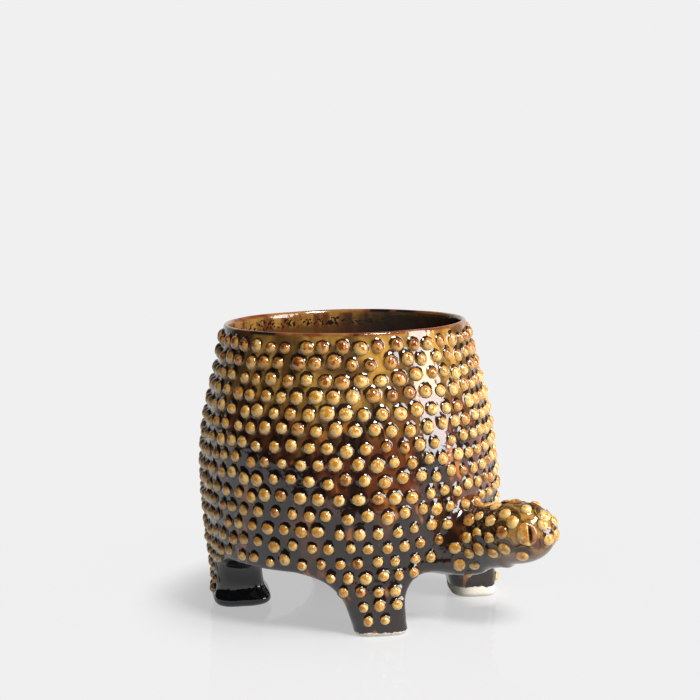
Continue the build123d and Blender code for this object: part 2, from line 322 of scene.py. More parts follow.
def added_to(base, joined):
    """Field of what a joined form adds to a base, keyed into its clay and tucked under its skin."""

    def field(x, y, z):
        there = base(x, y, z)
        whole = joined(x, y, z)
        gain = there - whole
        tucked = whole + JOINT_TUCK * np.clip((TUCK_START - gain) / TUCK_RUN, 0, 1)
        added = np.maximum(tucked, JOINT_STEEPNESS * (JOINT_LEAST - gain))
        return np.maximum(added, -JOINT_KEY - there)

    return field


def neck_on_pot(x, y, z):
    """The neck's joint is crisp on top, and runs out in a broad web to the legs below."""
    web = NECK_FILLET + (NECK_WEB - NECK_FILLET) * np.clip((WEB_TOP - z) / WEB_FALL, 0, 1)
    return smooth_min(legs_form(x, y, z), head_form(x, y, z), web)


def skin_of(field, low, high, step):
    """Quads on the zero surface of a field, drawn onto it exactly."""
    counts = [int(round((b - a) / step)) + 1 for a, b in zip(low, high)]
    axes = [a + step * np.arange(count) for a, count in zip(low, counts)]
    values = field(*np.meshgrid(*axes, indexing="ij"))
    grid = openvdb.FloatGrid(10.0)
    grid.copyFromArray(values.astype(np.float32))
    points, quads = grid.convertToQuads(0.0)
    points = np.asarray(points, dtype=float) * step + np.array(low)
    reach = 0.05
    for _ in range(4):
        here = field(*points.T)
        slope = np.zeros_like(points)
        for axis in range(3):
            nudge = np.zeros(3)
            nudge[axis] = reach
            slope[:, axis] = (field(*(points + nudge).T) - field(*(points - nudge).T)) / (2 * reach)
        size = np.maximum((slope**2).sum(axis=1), 0.2)
        move = slope * (np.clip(here, -0.6, 0.6) / size)[:, None]
        points = points - np.clip(move, -0.5, 0.5)
    return points, np.asarray(quads)


# Pieces


def linked(name, data):
    """New object in the scene, with its data."""
    piece = bpy.data.objects.new(name, data)
    bpy.context.scene.collection.objects.link(piece)
    return piece


def mesh_piece(name, points, faces):
    """Smooth piece of clay, creased only at sharp edges."""
    mesh = bpy.data.meshes.new(name)
    mesh.from_pydata(placed(points), [], [tuple(int(i) for i in face) for face in faces])
    mesh.validate()
    mesh.update()
    for polygon in mesh.polygons:
        polygon.use_smooth = True
    mesh.set_sharp_from_angle(angle=CREASE_ANGLE)
    return linked(name, mesh)


def faces_outwards(piece):
    """Turn the faces of a closed piece round if they point inwards."""
    mesh = piece.data
    volume = 0.0
    mesh.calc_loop_triangles()
    for triangle in mesh.loop_triangles:
        a, b, c = (mesh.vertices[i].co for i in triangle.vertices)
        volume += a.dot(b.cross(c))
    if volume < 0:
        mesh.flip_normals()


def clay_legs():
    """Four legs in one piece, without the pot above them."""
    points, quads = skin_of(added_to(pot_form, legs_form), *LEGS_BOX, LEGS_GRAIN)
    legs = mesh_piece("legs", points, quads)
    faces_outwards(legs)
    return legs


def clay_head():
    """Neck and head in one piece, without the pot behind them."""
    points, quads = skin_of(added_to(legs_form, neck_on_pot), *HEAD_BOX, HEAD_GRAIN)
    head = mesh_piece("neck_and_head", points, quads)
    faces_outwards(head)
    return head


# Node helpers


def feed(tree, socket, value):
    """Link a socket to an output, or set its value."""
    if isinstance(value, bpy.types.NodeSocket):
        tree.links.new(value, socket)
    else:
        socket.default_value = value


def add_node(tree, kind, inputs=None, **settings):
    """New node with its settings and inputs."""
    node = tree.nodes.new(kind)
    for name, value in settings.items():
        setattr(node, name, value)
    for name, value in (inputs or {}).items():
        feed(tree, node.inputs[name], value)
    return node


def calc(tree, operation, *values):
    """Result of one sum on numbers or outputs."""
    node = add_node(tree, "ShaderNodeMath", operation=operation)
    for index, value in enumerate(values):
        feed(tree, node.inputs[index], value)
    return node.outputs[0]


def new_tree(name, inputs):
    """Geometry tree with its geometry sockets and named number inputs."""
    tree = bpy.data.node_groups.new(name, "GeometryNodeTree")
    tree.interface.new_socket("Geometry", in_out="INPUT", socket_type="NodeSocketGeometry")
    for title, kind, value in inputs:
        socket = tree.interface.new_socket(title, in_out="INPUT", socket_type=kind)
        socket.default_value = value
    tree.interface.new_socket("Geometry", in_out="OUTPUT", socket_type="NodeSocketGeometry")
    return tree, tree.nodes.new("NodeGroupInput"), tree.nodes.new("NodeGroupOutput")


def grown(piece, tree, values):
    """Run a geometry tree on a piece and keep the result as a plain mesh."""
    modifier = piece.modifiers.new(tree.name, "NODES")
    modifier.node_group = tree
    for item in tree.interface.items_tree:
        if item.in_out == "INPUT" and item.name in values:
            modifier[item.identifier] = values[item.name]
    bpy.context.view_layer.update()
    graph = bpy.context.evaluated_depsgraph_get()
    mesh = bpy.data.meshes.new_from_object(piece.evaluated_get(graph), depsgraph=graph)
    mesh.name = piece.name
    piece.modifiers.remove(modifier)
    piece.data = mesh
    return piece


def wrapped_sheet(tree, segments, rows):
    """Grid to wrap round an axis, with each point's turn and its share of the way along the rows."""
    columns = calc(tree, "ADD", segments, 1)
    sheet = add_node(tree, "GeometryNodeMeshGrid", {"Size X": 1.0, "Size Y": 1.0})
    feed(tree, sheet.inputs["Vertices X"], columns)
    feed(tree, sheet.inputs["Vertices Y"], rows)
    position = add_node(tree, "GeometryNodeInputPosition").outputs[0]
    place = add_node(tree, "ShaderNodeSeparateXYZ", {0: position})
    turn = calc(tree, "MULTIPLY", calc(tree, "ADD", place.outputs["X"], 0.5), tau)
    return sheet.outputs["Mesh"], turn, calc(tree, "ADD", place.outputs["Y"], 0.5)


def closed_skin(tree, sheet, position, seam):
    """Sheet moved to its position, closed where points meet within a seam, and smooth."""
    shaped = add_node(tree, "GeometryNodeSetPosition", {"Geometry": sheet, "Position": position})
    closed = add_node(tree, "GeometryNodeMergeByDistance", {"Geometry": shaped.outputs[0], "Distance": seam})
    smooth = add_node(tree, "GeometryNodeSetShadeSmooth", {"Geometry": closed.outputs[0]})
    smooth.inputs["Shade Smooth"].default_value = True
    return smooth.outputs[0]


def glazed_result(tree, result, geometry, material):
    """Hand a tree's geometry on as one mesh in its glaze."""
    whole = add_node(tree, "GeometryNodeRealizeInstances", {"Geometry": geometry})
    painted = add_node(tree, "GeometryNodeSetMaterial", {"Geometry": whole.outputs[0], "Material": material})
    tree.links.new(painted.outputs[0], result.inputs[0])


def curve_through(tree, value, levels):
    """Curve with straight runs through evenly spaced levels."""
    node = add_node(tree, "ShaderNodeFloatCurve", {"Factor": 1.0, "Value": value})
    curve = node.mapping.curves[0]
    while len(curve.points) < len(levels):
        curve.points.new(0.5, 0.5)
    for i, (point, level) in enumerate(zip(curve.points, levels)):
        point.location = (i / (len(levels) - 1), level)
        point.handle_type = "VECTOR"
    node.mapping.update()
    return node.outputs[0]


# The pot, turned from one closed profile


def pot_profile():
    """Outline of the clay from the middle of the underside, round the lip, to the middle of the floor."""
    outline = [(radius, UNDERSIDE) for radius in UNDERSIDE_RINGS]
    foot = float(wall_radius(UNDERSIDE + EDGE_ROUNDING))
    for i in range(7):
        turn = -pi / 2 + pi / 2 * i / 6
        outline.append((foot + EDGE_ROUNDING * (cos(turn) - 1), UNDERSIDE + EDGE_ROUNDING * (1 + sin(turn))))
    lip = WALL_HEIGHTS[-1]
    half = LIP_THICKNESS / 2
    for z in np.linspace(UNDERSIDE + EDGE_ROUNDING + 1.5, lip - half - 0.3, 68):
        outline.append((float(wall_radius(z)), float(z)))
    crown = float(wall_radius(lip - half)) - half
    for i in range(1, 10):
        turn = pi * i / 10
        outline.append((crown + half * cos(turn), lip - half + half * sin(turn)))
    for z in np.linspace(lip - half - 0.3, FLOOR_LEVEL + CORNER_ROUNDING, 62):
        outline.append((float(wall_radius(z)) - wall_thickness(z), float(z)))
    corner = float(wall_radius(FLOOR_LEVEL + CORNER_ROUNDING)) - WALL_THICKNESS - CORNER_ROUNDING
    for i in range(1, 9):
        turn = -pi / 2 * i / 8
        outline.append(
            (corner + CORNER_ROUNDING * cos(turn), FLOOR_LEVEL + CORNER_ROUNDING * (1 + sin(turn)))
        )
    return outline + [(radius, FLOOR_LEVEL) for radius in FLOOR_RINGS]


def turning_tree(material):
    """Turns a profile about the pot's axis, with the waver of a hand-built wall."""
    tree, given, result = new_tree(
        "pot_turning",
        (
            ("Segments", "NodeSocketInt", 240),
            ("Waver", "NodeSocketFloat", 0.0003),
            ("Lip Dip", "NodeSocketFloat", 0.0008),
            ("Lip Height", "NodeSocketFloat", 0.14),
            ("Middle X", "NodeSocketFloat", 0.0),
        ),
    )
    profile = given.outputs["Geometry"]
    rows = add_node(tree, "GeometryNodeAttributeDomainSize", {"Geometry": profile}).outputs["Point Count"]
    sheet, turn, share = wrapped_sheet(tree, given.outputs["Segments"], rows)
    row = calc(tree, "ROUND", calc(tree, "MULTIPLY", share, calc(tree, "SUBTRACT", rows, 1)))
    sample = add_node(tree, "GeometryNodeSampleIndex", data_type="FLOAT_VECTOR", domain="POINT")
    feed(tree, sample.inputs["Geometry"], profile)
    feed(tree, sample.inputs["Value"], add_node(tree, "GeometryNodeInputPosition").outputs[0])
    feed(tree, sample.inputs["Index"], row)
    seat = add_node(tree, "ShaderNodeSeparateXYZ", {0: sample.outputs["Value"]})
    cosine = calc(tree, "COSINE", turn)
    sine = calc(tree, "SINE", turn)
    ring = add_node(tree, "ShaderNodeCombineXYZ", {"X": cosine, "Y": sine, "Z": 0.0}).outputs[0]
    swirl = add_node(tree, "ShaderNodeTexNoise", {"Vector": ring, "Scale": 1.7, "Detail": 1.0})
    dip = calc(tree, "MULTIPLY", swirl.outputs["Fac"], given.outputs["Lip Dip"])
    near_lip = calc(tree, "DIVIDE", seat.outputs["Z"], given.outputs["Lip Height"])
    dip = calc(tree, "MULTIPLY", dip, calc(tree, "POWER", near_lip, 8.0))
    height = calc(tree, "SUBTRACT", seat.outputs["Z"], dip)
    lumps_at = add_node(
        tree,
        "ShaderNodeCombineXYZ",
        {"X": cosine, "Y": sine, "Z": calc(tree, "MULTIPLY", seat.outputs["Z"], 16.0)},
    )
    lumps = add_node(tree, "ShaderNodeTexNoise", {"Scale": 2.4, "Detail": 1.0})
    feed(tree, lumps.inputs["Vector"], lumps_at.outputs[0])
    waver = calc(tree, "MULTIPLY", lumps.outputs["Fac"], given.outputs["Waver"])
    steady = calc(tree, "MULTIPLY", calc(tree, "SUBTRACT", seat.outputs["Z"], STEADY_BELOW * MM), 30.0)
    steady = calc(tree, "MINIMUM", calc(tree, "MAXIMUM", steady, 0.0), 1.0)
    waver = calc(tree, "MULTIPLY", waver, steady)
    near_axis = calc(tree, "MULTIPLY", seat.outputs["X"], 25.0)
    near_axis = calc(tree, "MINIMUM", near_axis, 1.0)
    radius = calc(tree, "SUBTRACT", seat.outputs["X"], calc(tree, "MULTIPLY", waver, near_axis))
    at = add_node(
        tree,
        "ShaderNodeCombineXYZ",
        {
            "X": calc(tree, "ADD", calc(tree, "MULTIPLY", radius, cosine), given.outputs["Middle X"]),
            "Y": calc(tree, "MULTIPLY", radius, sine),
            "Z": height,
        },
    )
    skin = closed_skin(tree, sheet, at.outputs[0], 1e-5)
    glazed_result(tree, result, skin, material)
    return tree


def turned_pot(material):
    """Pot with its floor and lip, swollen over the front legs."""
    outline = pot_profile()
    edges = [(i, i + 1) for i in range(len(outline) - 1)]
    mesh = bpy.data.meshes.new("pot")
    mesh.from_pydata([(r * MM, 0, z * MM) for r, z in outline], edges, [])
    pot = linked("pot", mesh)
    turning = {"Segments": POT_SEGMENTS, "Waver": WALL_WAVER * MM, "Middle X": pot_middle.x}
    grown(pot, turning_tree(material), turning)
    for vertex in pot.data.vertices:
        at = (vertex.co - pot_middle) / MM
        out = Vector((at.x, at.y, 0))
        if out.length > 50:
            vertex.co += out.normalized() * float(shoulder(at.x, at.y, at.z)) * MM
    faces_outwards(pot)
    return pot


# Studs


def stud_tree(material):
    """Sets a glazed clay stud on every seat, tipped and turned a little by hand."""
    tree, given, result = new_tree(
        "studs",
        (
            ("Sides", "NodeSocketInt", STUD_SIDES),
            ("Tip", "NodeSocketFloat", 0.04),
            ("Pool", "NodeSocketFloat", STUD_POOL),
            ("Lopsided", "NodeSocketFloat", 0.16),
            ("Seed", "NodeSocketInt", STUD_SEED),
        ),
    )
    marked, turn, climb = wrapped_sheet(tree, given.outputs["Sides"], len(STUD_GIRTHS))
    out = curve_through(tree, climb, STUD_GIRTHS)
    lift = curve_through(tree, climb, STUD_LIFTS)
    over = calc(tree, "MULTIPLY", out, calc(tree, "SINE", turn))
    low_down = calc(tree, "MAXIMUM", calc(tree, "SUBTRACT", 1.0, calc(tree, "MULTIPLY", climb, 2.0)), 0.0)
    drawn_up = calc(tree, "MULTIPLY", calc(tree, "MAXIMUM", over, 0.0), given.outputs["Pool"])
    pressed_in = calc(tree, "MULTIPLY", calc(tree, "MINIMUM", over, 0.0), -0.16)
    shape = add_node(
        tree,
        "ShaderNodeCombineXYZ",
        {
            "X": calc(tree, "MULTIPLY", out, calc(tree, "COSINE", turn)),
            "Y": calc(tree, "ADD", over, calc(tree, "MULTIPLY", drawn_up, low_down)),
            "Z": calc(tree, "SUBTRACT", lift, calc(tree, "MULTIPLY", pressed_in, low_down)),
        },
    )
    for name, value in (("climb", climb), ("over", over)):
        stored = add_node(tree, "GeometryNodeStoreNamedAttribute", data_type="FLOAT", domain="POINT")
        feed(tree, stored.inputs["Geometry"], marked)
        feed(tree, stored.inputs["Name"], name)
        feed(tree, stored.inputs["Value"], value)
        marked = stored.outputs[0]
    stud = closed_skin(tree, marked, shape.outputs[0], 1e-3)
    facing = add_node(tree, "GeometryNodeInputNamedAttribute", {"Name": "facing"}, data_type="FLOAT_VECTOR")
    size = add_node(tree, "GeometryNodeInputNamedAttribute", {"Name": "size"}, data_type="FLOAT_VECTOR")
    upright = add_node(tree, "FunctionNodeAlignRotationToVector", axis="Z")
    feed(tree, upright.inputs["Vector"], facing.outputs["Attribute"])
    upright = add_node(
        tree,
        "FunctionNodeAlignRotationToVector",
        {"Rotation": upright.outputs["Rotation"], "Vector": (0.0, 0.0, 1.0)},
        axis="Y",
        pivot_axis="Z",
    )
    tip = given.outputs["Tip"]
    low = add_node(tree, "ShaderNodeCombineXYZ")
    high = add_node(tree, "ShaderNodeCombineXYZ")
    for axis in ("X", "Y"):
        feed(tree, low.inputs[axis], calc(tree, "MULTIPLY", tip, -1.0))
        feed(tree, high.inputs[axis], tip)
    low.inputs["Z"].default_value = -0.3
    high.inputs["Z"].default_value = 0.3
    sway = add_node(tree, "FunctionNodeRandomValue", data_type="FLOAT_VECTOR")
    feed(tree, sway.inputs["Min"], low.outputs[0])
    feed(tree, sway.inputs["Max"], high.outputs[0])
    feed(tree, sway.inputs["Seed"], given.outputs["Seed"])
    swayed = add_node(tree, "FunctionNodeEulerToRotation", {"Euler": sway.outputs["Value"]})
    turned = add_node(tree, "FunctionNodeRotateRotation", rotation_space="LOCAL")
    feed(tree, turned.inputs["Rotation"], upright.outputs["Rotation"])
    feed(tree, turned.inputs["Rotate By"], swayed.outputs["Rotation"])
    least = calc(tree, "SUBTRACT", 1.0, given.outputs["Lopsided"])
    slimmest = add_node(tree, "ShaderNodeCombineXYZ", {0: least, 1: least, 2: 1.0})
    squeeze = add_node(tree, "FunctionNodeRandomValue", data_type="FLOAT_VECTOR")
    feed(tree, squeeze.inputs["Min"], slimmest.outputs[0])
    feed(tree, squeeze.inputs["Max"], (1.0, 1.0, 1.0))
    feed(tree, squeeze.inputs["Seed"], calc(tree, "ADD", given.outputs["Seed"], 1))
    scale = add_node(tree, "ShaderNodeVectorMath", operation="MULTIPLY")
    feed(tree, scale.inputs[0], size.outputs["Attribute"])
    feed(tree, scale.inputs[1], squeeze.outputs["Value"])
    set_out = add_node(tree, "GeometryNodeInstanceOnPoints", {"Points": given.outputs["Geometry"]})
    feed(tree, set_out.inputs["Instance"], stud)
    feed(tree, set_out.inputs["Rotation"], turned.outputs["Rotation"])
    feed(tree, set_out.inputs["Scale"], scale.outputs[0])
    glazed_result(tree, result, set_out.outputs[0], material)
    return tree


def clay_surface(*pieces):
    """Tree of the clay's faces, to seat studs on."""
    points = []
    faces = []
    for piece in pieces:
        start = len(points)
        points += [tuple(vertex.co) for vertex in piece.data.vertices]
        faces += [[start + i for i in polygon.vertices] for polygon in piece.data.polygons]
    return BVHTree.FromPolygons(points, faces)


def pellet_places(*names):
    """Middle of every pellet in some nodes of the solids, in millimetres about the pot."""
    places = []
    for name in names:
        corners = bmesh.new()
        corners.from_mesh(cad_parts[name].data)
        bmesh.ops.remove_doubles(corners, verts=corners.verts, dist=1e-5)
        seen = set()
        for start in corners.verts:
            if start.index in seen:
                continue
            seen.add(start.index)
            pellet = [start]
            for corner in pellet:
                for edge in corner.link_edges:
                    other = edge.other_vert(corner)
                    if other.index not in seen:
                        seen.add(other.index)
                        pellet.append(other)
            middle = sum((corner.co for corner in pellet), Vector()) / len(pellet)
            places.append((middle - pot_middle) / MM)
        corners.free()
    return places


def head_point(along, bearing, out):
    """Point about the neck's axis, with its bearing from the crown towards the animal's left."""
    axis = Vector((cos(NECK_TILT), 0, sin(NECK_TILT)))
    crown = Vector((-sin(NECK_TILT), 0, cos(NECK_TILT)))
    left = Vector((0, 1, 0))
    return NECK_START + axis * along + (crown * cos(bearing) + left * sin(bearing)) * out


def stepped_forward(spots):
    """Move the spots on the front legs forward with the toes, which step out past the solids' toes."""
    moved = []
    for spot in spots:
        step = FRONT_STEP * max(0.0, 1 - spot.z / SADDLE_HEIGHT) if spot.x > 0 else 0.0
        moved.append(spot + Vector((step, 0, 0)))
    return moved


def off_the_eyes(spots):
    """Push the spots that crowd an eye out to its edge."""
    eyes = [head_point(EYE_DISTANCE, side * radians(EYE_BEARING), EYE_OUT) for side in (-1, 1)]
    pushed = []
    for spot in spots:
        for eye in eyes:
            aside = spot - eye
            if aside.length < EYE_CLEARANCE:
                spot = eye + aside * (EYE_CLEARANCE / aside.length)
        pushed.append(spot)
    return pushed


def neck_root_spots(others):
    """Ring of studs where the neck grows out of the wall, left out where others are too near."""
    bearings = [side * radians(bearing) for side in (-1, 1) for bearing in ROOT_BEARINGS]
    spots = [head_point(ROOT_DISTANCE, bearing, ROOT_RADIUS) for bearing in bearings]
    return [spot for spot in spots if min((spot - other).length for other in others) > ROOT_CLEARANCE]


def wall_stud_width(spot):
    """Studs are rolled larger for the upper rows."""
    return LOW_STUD_WIDTH + STUD_GROWTH * min(max((spot.z - GROWTH_START) / GROWTH_RISE, 0), 1)


def head_stud_width(spot):
    """Only small studs go underneath the neck."""
    low = min(max((THROAT_STUD_HEIGHT - spot.z) / THROAT_STUD_FALL, 0), 1)
    return HEAD_STUD_WIDTH * (1 - THROAT_STUD_SHRINK * low)


def set_studs(name, spots, surface, dice, material, width, height, pool=STUD_POOL):
    """Studs of about a width and height on the nearest clay to each spot, with glaze pooled over them."""
    seats = []
    facings = []
    sizes = []
    for spot in spots:
        shift = Vector([dice.uniform(-STUD_SHIFT, STUD_SHIFT) for _ in range(3)])
        seat, facing = surface.find_nearest(Vector(placed([spot + shift])[0]))[:2]
        seats.append(seat - facing * STUD_SINK * MM)
        facings.append(facing)
        girth = width(spot) * dice.uniform(0.88, 1.12) / 2 / STUD_SHARE
        sizes.append((girth * MM, girth * MM, height * dice.uniform(0.88, 1.0) * MM))
    mesh = bpy.data.meshes.new(name)
    mesh.from_pydata(seats, [], [])
    mesh.attributes.new("facing", "FLOAT_VECTOR", "POINT").data.foreach_set("vector", np.ravel(facings))
    mesh.attributes.new("size", "FLOAT_VECTOR", "POINT").data.foreach_set("vector", np.ravel(sizes))
    tone = mesh.attributes.new("tone", "FLOAT", "POINT")
    tone.data.foreach_set("value", [dice.random() for _ in seats])
    studs = linked(name, mesh)
    return grown(studs, stud_tree(material), {"Seed": STUD_SEED, "Sides": STUD_SIDES, "Pool": pool})


# Eyes


def eye_piece(name, side, surface, material):
    """Upright bean with a broad lid behind a dark slit and a narrow lid in front of it."""
    spot = head_point(EYE_DISTANCE, side * radians(EYE_BEARING), EYE_OUT)
    seat, outwards = surface.find_nearest(Vector(placed([spot])[0]))[:2]
    forwards = Vector((cos(NECK_TILT), 0, sin(NECK_TILT)))
    forwards = (forwards - outwards * forwards.dot(outwards)).normalized()
    upwards = Vector((-sin(NECK_TILT), 0, cos(NECK_TILT)))
    upwards = (upwards - outwards * upwards.dot(outwards)).normalized()
    upwards = (upwards - forwards * upwards.dot(forwards)).normalized()
    points = []
    slits = []
    fronts = []
    for ring in range(EYE_RINGS + 1):
        reach = ring / EYE_RINGS
        for i in range(EYE_SIDES if ring else 1):
            turn = tau * i / EYE_SIDES
            ahead = reach * cos(turn)
            above = reach * sin(turn)
            slit_at = SLIT_PLACE - SLIT_BOW * above**2
            slit = max(0.0, 1 - abs(ahead - slit_at) / SLIT_HALF_WIDTH)
            slit *= max(0.0, 1 - (above / SLIT_HALF_LENGTH) ** 2)
            lid = (1 - reach**2.4) ** 0.55 if reach < 1 else 0.0
            rise = EYE_HEIGHT * lid * (1.0 if ahead < slit_at else FRONT_LID)
            rise -= SLIT_DEPTH * min(1.0, 1.6 * slit) + EYE_BED * reach**2
            across = forwards * ahead * EYE_HALF_WIDTH + upwards * above * EYE_HALF_HEIGHT
            points.append(seat + (across + outwards * rise) * MM)
            slits.append(min(1.0, 1.8 * slit))
            fronts.append(1.0 if ahead > slit_at else 0.0)
    faces = [(0, 1 + i, 1 + (i + 1) % EYE_SIDES) for i in range(EYE_SIDES)]
    for ring in range(EYE_RINGS - 1):
        start = 1 + ring * EYE_SIDES
        further = start + EYE_SIDES
        for i in range(EYE_SIDES):
            j = (i + 1) % EYE_SIDES
            faces.append((start + i, further + i, further + j, start + j))
    mesh = bpy.data.meshes.new(name)
    mesh.from_pydata(points, [], faces)
    for polygon in mesh.polygons:
        polygon.use_smooth = True
    mesh.attributes.new("slit", "FLOAT", "POINT").data.foreach_set("value", slits)
    mesh.attributes.new("front_lid", "FLOAT", "POINT").data.foreach_set("value", fronts)
    mesh.materials.append(material)
    if mesh.polygons[0].normal.dot(outwards) < 0:
        mesh.flip_normals()
    return linked(name, mesh)


# Glazes, in linear light

PITCH_BROWN = (0.013, 0.006, 0.004, 1)
CHESTNUT = (0.11, 0.03, 0.009, 1)
EMBER = (0.36, 0.11, 0.014, 1)
UMBER = (0.1, 0.048, 0.012, 1)
HONEY = (0.42, 0.22, 0.042, 1)
AMBER = (0.45, 0.185, 0.02, 1)
CREAM = (0.72, 0.49, 0.17, 1)
RUST = (0.15, 0.03, 0.008, 1)
OLIVE_AMBER = (0.36, 0.19, 0.04, 1)
CHIN_BROWN = (0.15, 0.085, 0.055, 1)
BOTTLE_BLACK = (0.005, 0.008, 0.007, 1)
BARE_CLAY = (0.66, 0.61, 0.52, 1)
INSIDE_HONEY = (0.3, 0.15, 0.035, 1)
# Painted shade for the inside wall that faces away from the lamps
INSIDE_PAINTED_SHADE = (0.034, 0.027, 0.021, 1)
LIP_AMBER = (0.26, 0.11, 0.025, 1)
GLAZE_IOR = 1.67
WAVE_DEPTH = 0.00038
WAVE_SCALE = 170.0


def new_glaze(name, roughness=0.1):
    """Material with the gloss of fired glaze, its tree and its shader."""
    material = bpy.data.materials.new(name)
    material.use_nodes = True
    shader = material.node_tree.nodes["Principled BSDF"]
    shader.inputs["Roughness"].default_value = roughness
    shader.inputs["IOR"].default_value = GLAZE_IOR
    return material, material.node_tree, shader


def mixed(tree, share, first, second):
    """One colour with a share of a second over it."""
    node = add_node(tree, "ShaderNodeMix", data_type="RGBA")
    feed(tree, node.inputs[0], share)
    feed(tree, node.inputs[6], first)
    feed(tree, node.inputs[7], second)
    return node.outputs[2]


def ranged(tree, value, low, high):
    """0 below one value and 1 above another, with a soft step between."""
    node = add_node(tree, "ShaderNodeMapRange", interpolation_type="SMOOTHSTEP")
    feed(tree, node.inputs["Value"], value)
    feed(tree, node.inputs["From Min"], low)
    feed(tree, node.inputs["From Max"], high)
    return node.outputs[0]


def noise(tree, place, scale, detail=2.0):
    """Cloudy pattern from 0 to 1."""
    node = add_node(tree, "ShaderNodeTexNoise", {"Vector": place, "Scale": scale, "Detail": detail})
    return node.outputs["Fac"]


def stretched(tree, place, size):
    """Place scaled along its axes, to draw a pattern out."""
    node = add_node(tree, "ShaderNodeMapping")
    feed(tree, node.inputs["Vector"], place)
    node.inputs["Scale"].default_value = size
    return node.outputs[0]


def attribute(tree, name):
    """Value that a piece stores on its points."""
    return add_node(tree, "ShaderNodeAttribute", attribute_name=name).outputs["Fac"]


def from_pot_middle(tree):
    """Object coordinates from the middle of the pot, whole and split."""
    place = add_node(tree, "ShaderNodeTexCoord").outputs["Object"]
    mapping = add_node(tree, "ShaderNodeMapping")
    feed(tree, mapping.inputs["Vector"], place)
    mapping.inputs["Location"].default_value = -pot_middle
    split = add_node(tree, "ShaderNodeSeparateXYZ", {0: mapping.outputs[0]})
    return mapping.outputs[0], split.outputs["X"], split.outputs["Y"], split.outputs["Z"]


def ground_colour(tree, place, height):
    """Dark pooled glaze low down, with chestnut runs, thinning to honey and umber under the lip."""
    runs = noise(tree, stretched(tree, place, (1, 1, 0.25)), 150.0, 3.0)
    patches = noise(tree, stretched(tree, place, (1, 1, 0.6)), 60.0, 3.0)
    flecks = noise(tree, stretched(tree, place, (1, 1, 0.5)), 120.0, 2.0)
    warmer = calc(tree, "ADD", patches, calc(tree, "MULTIPLY", calc(tree, "SUBTRACT", height, 0.062), 2.2))
    colour = mixed(tree, ranged(tree, warmer, 0.46, 0.64), PITCH_BROWN, CHESTNUT)
    colour = mixed(tree, ranged(tree, flecks, 0.61, 0.7), colour, EMBER)
    thin = mixed(tree, ranged(tree, patches, 0.42, 0.6), HONEY, UMBER)
    thin = mixed(tree, calc(tree, "MULTIPLY", ranged(tree, flecks, 0.45, 0.62), 0.75), thin, UMBER)
    thinned = calc(tree, "ADD", height, calc(tree, "MULTIPLY", calc(tree, "SUBTRACT", runs, 0.5), 0.09))
    return mixed(tree, ranged(tree, thinned, 0.085, 0.125), colour, thin)


def glaze_waves(tree, shader, place, depth=WAVE_DEPTH, scale=WAVE_SCALE):
    """Low waves in the glaze, which break up its reflections."""
    waves = noise(tree, place, scale, 2.0)
    bump = add_node(tree, "ShaderNodeBump", {"Strength": 1.0, "Distance": depth, "Height": waves})
    tree.links.new(bump.outputs[0], shader.inputs["Normal"])


def inside_colour(tree, place, x, y, height):
    """Honey glaze with brown runs, above and below a speckled tide line, with painted shade darkening the
    inside across to the wall that faces away from the lamps.
    """
    streaks = noise(tree, stretched(tree, place, (1, 1, 0.15)), 130.0, 3.0)
    # Direction across the inside along which the painted shade deepens
    along = calc(tree, "ADD", calc(tree, "MULTIPLY", x, 0.785), calc(tree, "MULTIPLY", y, 0.62))
    along = calc(tree, "ADD", along, calc(tree, "MULTIPLY", calc(tree, "SUBTRACT", streaks, 0.5), 0.06))
    ripple = calc(tree, "MULTIPLY", calc(tree, "SUBTRACT", noise(tree, place, 160.0, 2.0), 0.5), 0.008)
    tide = calc(tree, "ADD", height, ripple)
    upper = mixed(tree, ranged(tree, streaks, 0.42, 0.6), INSIDE_HONEY, CHESTNUT)
    lower = mixed(tree, ranged(tree, streaks, 0.42, 0.6), UMBER, CHESTNUT)
    colour = mixed(tree, ranged(tree, tide, 0.13, 0.134), lower, upper)
    below = calc(tree, "ABSOLUTE", calc(tree, "SUBTRACT", tide, 0.1335))
    speckle = ranged(tree, noise(tree, place, 620.0, 1.0), 0.5, 0.58)
    specks = calc(tree, "MULTIPLY", ranged(tree, below, 0.0028, 0.0012), speckle)
    colour = mixed(tree, specks, colour, PITCH_BROWN)
    # Painted shade over the inside wall that faces away from the lamps
    return mixed(tree, ranged(tree, along, -0.025, 0.035), colour, INSIDE_PAINTED_SHADE)


def pot_glaze():
    """Glaze of the wall, the inside and the scorched edge of the lip."""
    material, tree, shader = new_glaze("pot_glaze")
    place, x, y, height = from_pot_middle(tree)
    outside = ground_colour(tree, place, height)
    inside = inside_colour(tree, place, x, y, height)
    colour = mixed(tree, attribute(tree, "inside"), outside, inside)
    scorch = noise(tree, place, 60.0, 2.0)
    edge = mixed(tree, ranged(tree, scorch, 0.4, 0.56), LIP_AMBER, RUST)
    edge = mixed(tree, ranged(tree, scorch, 0.58, 0.64), edge, PITCH_BROWN)
    colour = mixed(tree, ranged(tree, height, 0.1376, 0.1388), colour, edge)
    tree.links.new(colour, shader.inputs["Base Color"])
    glaze_waves(tree, shader, place)
    return material


def leg_glaze():
    """Glaze of the wall carried down the legs, black on the rear ones, with bare clay at the soles."""
    material, tree, shader = new_glaze("leg_glaze")
    place, x, _, height = from_pot_middle(tree)
    colour = ground_colour(tree, place, height)
    colour = mixed(tree, ranged(tree, x, 0.0, -0.02), colour, BOTTLE_BLACK)
    ragged = calc(tree, "MULTIPLY", calc(tree, "SUBTRACT", noise(tree, place, 420.0, 3.0), 0.5), 3.0)
    bare = ranged(tree, calc(tree, "ADD", attribute(tree, "bare"), ragged), -0.15, 0.15)
    tree.links.new(mixed(tree, bare, colour, BARE_CLAY), shader.inputs["Base Color"])
    rough = calc(tree, "ADD", 0.1, calc(tree, "MULTIPLY", bare, 0.6))
    tree.links.new(rough, shader.inputs["Roughness"])
    glaze_waves(tree, shader, place)
    return material


